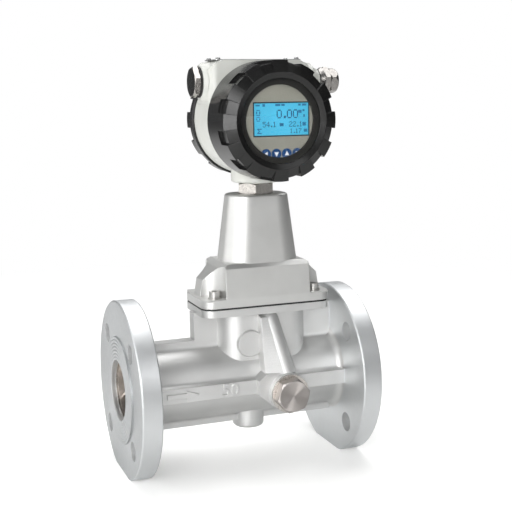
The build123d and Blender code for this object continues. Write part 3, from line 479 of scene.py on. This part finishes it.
give("key_left key_down key_up key_right", buildPlastic("blueKeyPlastic"))
give("lcd_panel", buildLcd())
give("window_glass", buildGlass())
print("materials given")


def meshPiece(name, points, faces, material, body, slot):
    mesh = bpy.data.meshes.new(name)
    mesh.from_pydata(points, [], faces)
    mesh.materials.append(material)
    piece = bpy.data.objects.new(name, mesh)
    bpy.context.scene.collection.objects.link(piece)
    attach(piece, body)
    return piece


def addPlate(points, faces, outline, back, front):
    # a flat plate facing -Y with a closed outline of (x, z)
    start = len(points)
    count = len(outline)
    points += [(x, back, z) for x, z in outline] + [(x, front, z) for x, z in outline]
    faces.append([start + count + i for i in range(count)])
    faces.append([start + i for i in reversed(range(count))])
    for i in range(count):
        j = (i + 1) % count
        faces.append([start + i, start + j, start + count + j, start + count + i])


# The display's grid of dots; `back` and `front` are millimetres in front of the film
displayGrid = {"columns": 128, "lines": 64, "back": 0.01, "front": 0.04}
# Figures of the display as dots, five wide and seven high
figures = {
    "0": "01110 10001 10001 10001 10001 10001 01110",
    "1": "00100 01100 00100 00100 00100 00100 01110",
    "2": "01110 10001 00001 00110 01000 10000 11111",
    "4": "00010 00110 01010 10010 11111 00010 00010",
    "5": "11111 10000 11110 00001 00001 10001 01110",
    "7": "11111 00001 00010 00100 01000 01000 01000",
    ".": "000 000 000 000 000 011 011",
}
# Text, left and top in display dots, dot size as a multiple
rows = [
    ("0.00", 53, 14, 2.4),
    ("54.1", 20, 37, 1.5),
    ("22.1", 82, 37, 1.5),
    ("1.17", 84, 51, 1.3),
]
# Plain bars where the display shows small signs: left, top, width, height in dots
bars = [
    (4, 4, 10, 3), (20, 3, 6, 5), (50, 3, 12, 4), (64, 3, 8, 4), (104, 3, 6, 4), (113, 3, 10, 4),
    (6, 14, 8, 2), (5, 17, 3, 5), (12, 17, 3, 5), (6, 23, 8, 2),
    (6, 27, 8, 2), (5, 30, 3, 3), (12, 30, 3, 3), (6, 34, 8, 2),
    (7, 50, 11, 2), (9, 52, 3, 2), (11, 54, 3, 2), (9, 56, 3, 2), (7, 58, 11, 2),
    (104, 15, 8, 6), (114, 14, 5, 4), (116, 24, 4, 5), (60, 40, 9, 6), (114, 39, 8, 7), (117, 52, 8, 6),
]


def buildDisplay():
    low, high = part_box("lcd_panel")
    dotX = (high[0] - low[0]) / displayGrid["columns"]
    dotZ = (high[2] - low[2]) / displayGrid["lines"]
    back = low[1] - displayGrid["back"] * mm
    front = low[1] - displayGrid["front"] * mm

    def dot(mesh, left, top, width, height):
        x0 = low[0] + left * dotX
        z1 = high[2] - top * dotZ
        x1 = x0 + width * dotX
        z0 = z1 - height * dotZ
        addPlate(*mesh, [(x0, z0), (x0, z1), (x1, z1), (x1, z0)], back, front)

    strong = ([], [])
    weak = ([], [])
    for text, left, top, size in rows:
        for figure in text:
            lines = figures[figure].split()
            for row, line in enumerate(lines):
                for column, mark in enumerate(line):
                    if mark == "1":
                        dot(strong, left + column * size, top + row * size, size, size)
            left += (len(lines[0]) + 1) * size
    for bar in bars:
        dot(weak, *bar)
    meshPiece("displayFigures", *strong, buildInk("liquidCrystalInk"), "head", "key_blue")
    meshPiece("displaySigns", *weak, buildInk("weakCrystalInk"), "head", "key_blue")


# The printed dark line round the display opening, in millimetres
frameLine = {"width": 1.1, "inset": 0.2, "topInset": 0.6, "back": 0.01, "front": 0.05}


def buildDisplayFrame():
    low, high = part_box("lcd_panel")
    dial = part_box("display_plate")[0][1]
    line = frameLine["width"] * mm
    inset = frameLine["inset"] * mm
    x0, x1 = low[0] + inset, high[0] - inset
    z0, z1 = low[2] + inset, high[2] - frameLine["topInset"] * mm
    back = dial - frameLine["back"] * mm
    front = dial - frameLine["front"] * mm
    points = []
    faces = []
    strips = [(x0 - line, x1 + line, z1, z1 + line), (x0 - line, x1 + line, z0 - line, z0),
              (x0 - line, x0, z0, z1), (x1, x1 + line, z0, z1)]
    for a, b, c, d in strips:
        addPlate(points, faces, [(a, c), (a, d), (b, d), (b, c)], back, front)
    meshPiece("displayFrameLine", points, faces, buildPlastic("navyFrameInk"), "head", "bezel_black")


# A white triangle printed on each key, pointing its own way: reach in millimetres, corners
# in degrees from its tip
keyMark = {"reach": 2.5, "corners": (0, 125, 235), "back": 0.01, "front": 0.06}


def buildKeyMarks():
    ink = buildPlastic("whiteScreenInk")
    reach = keyMark["reach"] * mm
    for way, angle in (("left", 180), ("down", 270), ("up", 90), ("right", 0)):
        low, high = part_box("key_" + way)
        centreX = (low[0] + high[0]) / 2
        centreZ = (low[2] + high[2]) / 2
        outline = []
        for corner in reversed(keyMark["corners"]):
            turn = math.radians(angle + corner)
            outline.append((centreX + reach * math.cos(turn), centreZ + reach * math.sin(turn)))
        points = []
        faces = []
        addPlate(points, faces, outline, low[1] - keyMark["back"] * mm, low[1] - keyMark["front"] * mm)
        meshPiece(way + "KeyMark", points, faces, ink, way + "_key", "ptfe")


# The raised cast figures of the line size on the front rib, in millimetres
sizeMark = {"text": "50", "height": 16.0, "relief": 0.8, "bevel": 0.25, "spacing": 1.1,
            "place": (-28.5, -41.2, 72.6)}


def buildSizeMark():
    curve = bpy.data.curves.new("sizeMark", "FONT")
    curve.body = sizeMark["text"]
    curve.size = sizeMark["height"] * mm
    curve.extrude = sizeMark["relief"] * mm
    curve.bevel_depth = sizeMark["bevel"] * mm
    curve.space_character = sizeMark["spacing"]
    curve.materials.append(castAluminium)
    mark = bpy.data.objects.new("sizeMark", curve)
    mark.rotation_euler = (math.radians(90), 0, 0)
    mark.location = [part * mm for part in sizeMark["place"]]
    bpy.context.scene.collection.objects.link(mark)
    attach(mark, "meter")


# The cast web that runs from the edge of the flat flank over to the slanting duct, in millimetres:
# height, duct axis x and y, and the flank's front y, at the foot and at the top; `root` is how far
# its hidden edge lies inside the casting
ductWeb = {"foot": (84.0, 35.87, -40.13, -44.8), "top": (139.0, 23.0, -22.8, -32.8), "edge": 13.7,
           "radius": 9.96, "root": (1.0, 6.0), "steps": 20}


def buildDuctWeb():
    points = []
    faces = []
    steps = ductWeb["steps"]
    radius = ductWeb["radius"]
    edge = ductWeb["edge"]
    rootX, rootY = ductWeb["root"]
    for i in range(steps + 1):
        z, x, y, front = (a + (b - a) * i / steps for a, b in zip(ductWeb["foot"], ductWeb["top"]))
        reach = math.hypot(edge - x, front - y)
        # the web meets the round duct at a tangent
        turn = math.atan2(front - y, edge - x) + math.acos(min(1.0, radius / reach))
        touch = (x + radius * math.cos(turn), y + radius * math.sin(turn))
        ring = [(edge, front), touch, (x, y), (edge + rootX, front + rootY)]
        points += [(a * mm, b * mm, z * mm) for a, b in ring]
    faces.append([3, 2, 1, 0])
    faces.append([4 * steps + k for k in range(4)])
    for i in range(steps):
        for k in range(4):
            a = 4 * i + k
            b = 4 * i + (k + 1) % 4
            faces.append([a, b, b + 4, a + 4])
    meshPiece("ductWeb", points, faces, castAluminium, "meter", "cast_aluminium")


buildDisplay()
buildDisplayFrame()
buildDuctWeb()
buildKeyMarks()
buildSizeMark()
print("added pieces built")


# Pale studio paper, lit to white with the meter's own soft shadow left on it; sizes in metres,
# the fibre in millimetres
floorLook = {"colour": "#f4f4f3", "shade": "#f0f0ef", "lift": 0.3, "fade": (0.35, 1.1), "half": 12.0,
             "fibre": 2.0, "fibreDepth": 0.02}


def buildFloor():
    look = floorLook
    material, tree, shader, place = newMaterial("paleStudioPaper", Roughness=0.9)
    fibre = speckle(tree, place, look["fibre"])
    colour = twoTone(tree, fibre, look["colour"], look["shade"], (0.0, 1.0))
    seen = addNode(tree, "LightPath", output="Is Camera Ray")
    lift = addNode(tree, "Math", {0: seen, 1: look["lift"]}, operation="MULTIPLY")
    dress(tree, shader, colour, height=fibre, depth=look["fibreDepth"], Emission_Color=colour,
          Emission_Strength=lift)
    # far from the meter the paper turns into the plain white of the backdrop
    reach = radiusFrom(tree, place, (0.0, 0.0, 0.0), 2)
    far = addNode(tree, "MapRange", {"Value": reach, "From Min": look["fade"][0], "From Max": look["fade"][1],
                                     "To Min": 0.0, "To Max": 1.0})
    far = addNode(tree, "Math", {0: far, 1: seen}, operation="MULTIPLY")
    backdrop = addNode(tree, "Emission", {"Color": "#ffffff", "Strength": 1.0})
    mixed = addNode(tree, "MixShader", {0: far, 1: shader.outputs[0], 2: backdrop})
    tree.links.new(mixed, tree.nodes["Material Output"].inputs["Surface"])
    half = look["half"]
    corners = [(-half, -half, 0), (half, -half, 0), (half, half, 0), (-half, half, 0)]
    mesh = bpy.data.meshes.new("studioFloor")
    mesh.from_pydata(corners, [], [[0, 1, 2, 3]])
    mesh.materials.append(material)
    floor = bpy.data.objects.new("studioFloor", mesh)
    bpy.context.scene.collection.objects.link(floor)


# The room: white to the camera, and a weak glow that falls off from the left and the front
worldLook = {"glow": "#f1f2f4", "X": (0.24, 0.02), "Y": (0.1, 0.02), "ends": (-0.9, 1.0)}


def buildWorld():
    world = bpy.data.worlds.new("studioWhite")
    bpy.context.scene.world = world
    world.use_nodes = True
    tree = world.node_tree
    tree.nodes.clear()
    way = addNode(tree, "TexCoord", output="Generated")
    start, end = worldLook["ends"]
    parts = []
    for axis in "XY":
        strong, weak = worldLook[axis]
        side = addNode(tree, "SeparateXYZ", {0: way}, axis)
        parts.append(addNode(tree, "MapRange", {"Value": side, "From Min": start, "From Max": end,
                                                "To Min": strong, "To Max": weak}))
    glow = addNode(tree, "Math", {0: parts[0], 1: parts[1]}, operation="ADD")
    lit = addNode(tree, "Background", {"Strength": glow, "Color": worldLook["glow"]})
    white = addNode(tree, "Background", {"Strength": 1.0, "Color": "#ffffff"})
    seen = addNode(tree, "LightPath", output="Is Camera Ray")
    mixed = addNode(tree, "MixShader", {0: seen, 1: lit, 2: white})
    out = tree.nodes.new("ShaderNodeOutputWorld")
    tree.links.new(mixed, out.inputs["Surface"])


# Softboxes: place, target, width, height, watts
lamps = {
    "leftSoftbox": ((-0.95, -1.35, 0.5), (0.0, 0.0, 0.2), 0.8, 1.3, 23.0),
    "sideSoftbox": ((-1.6, -0.3, 0.6), (0.0, 0.0, 0.22), 0.8, 1.2, 5.5),
    "rearSoftbox": ((-1.5, 0.75, 0.45), (0.0, 0.0, 0.2), 0.9, 1.2, 6.5),
    "topSoftbox": ((0.3, 0.5, 1.55), (0.0, 0.0, 0.2), 1.8, 1.3, 23.0),
    "topLeftSoftbox": ((-0.7, 0.2, 1.45), (0.0, 0.0, 0.2), 0.9, 1.2, 3.0),
    "frontFill": ((0.5, -1.8, 1.2), (0.0, 0.0, 0.2), 0.9, 0.8, 5.0),
}


def buildLights():
    for name, (spot, target, width, height, watts) in lamps.items():
        lamp = bpy.data.lights.new(name, "AREA")
        lamp.shape = "RECTANGLE"
        lamp.size = width
        lamp.size_y = height
        lamp.energy = watts
        holder = bpy.data.objects.new(name, lamp)
        holder.location = spot
        way = Vector(target) - Vector(spot)
        holder.rotation_euler = way.to_track_quat("-Z", "Y").to_euler()
        bpy.context.scene.collection.objects.link(holder)


# The photograph's camera: turns in degrees, lens and sensor in millimetres, place in metres
photoCamera = {"yaw": 20.81, "pitch": 9.37, "roll": -0.75, "lens": 70.8, "sensor": 36.0,
               "place": (-0.312, -0.8784, 0.3476)}


def buildCamera():
    yaw, pitch, roll = (math.radians(photoCamera[name]) for name in ("yaw", "pitch", "roll"))
    ahead = Vector((math.sin(yaw) * math.cos(pitch), math.cos(yaw) * math.cos(pitch), -math.sin(pitch)))
    side = Vector((math.cos(yaw), -math.sin(yaw), 0.0))
    up = side.cross(ahead)
    across = side * math.cos(roll) + up * math.sin(roll)
    upright = up * math.cos(roll) - side * math.sin(roll)
    lens = bpy.data.cameras.new("photoCamera")
    lens.sensor_width = photoCamera["sensor"]
    lens.lens = photoCamera["lens"]
    holder = bpy.data.objects.new("photoCamera", lens)
    turn = Matrix((across, upright, -ahead)).transposed().to_4x4()
    holder.matrix_world = Matrix.Translation(photoCamera["place"]) @ turn
    bpy.context.scene.collection.objects.link(holder)
    bpy.context.scene.camera = holder


buildFloor()
buildWorld()
buildLights()
buildCamera()
bpy.context.scene.view_settings.view_transform = "Standard"
print("studio set")
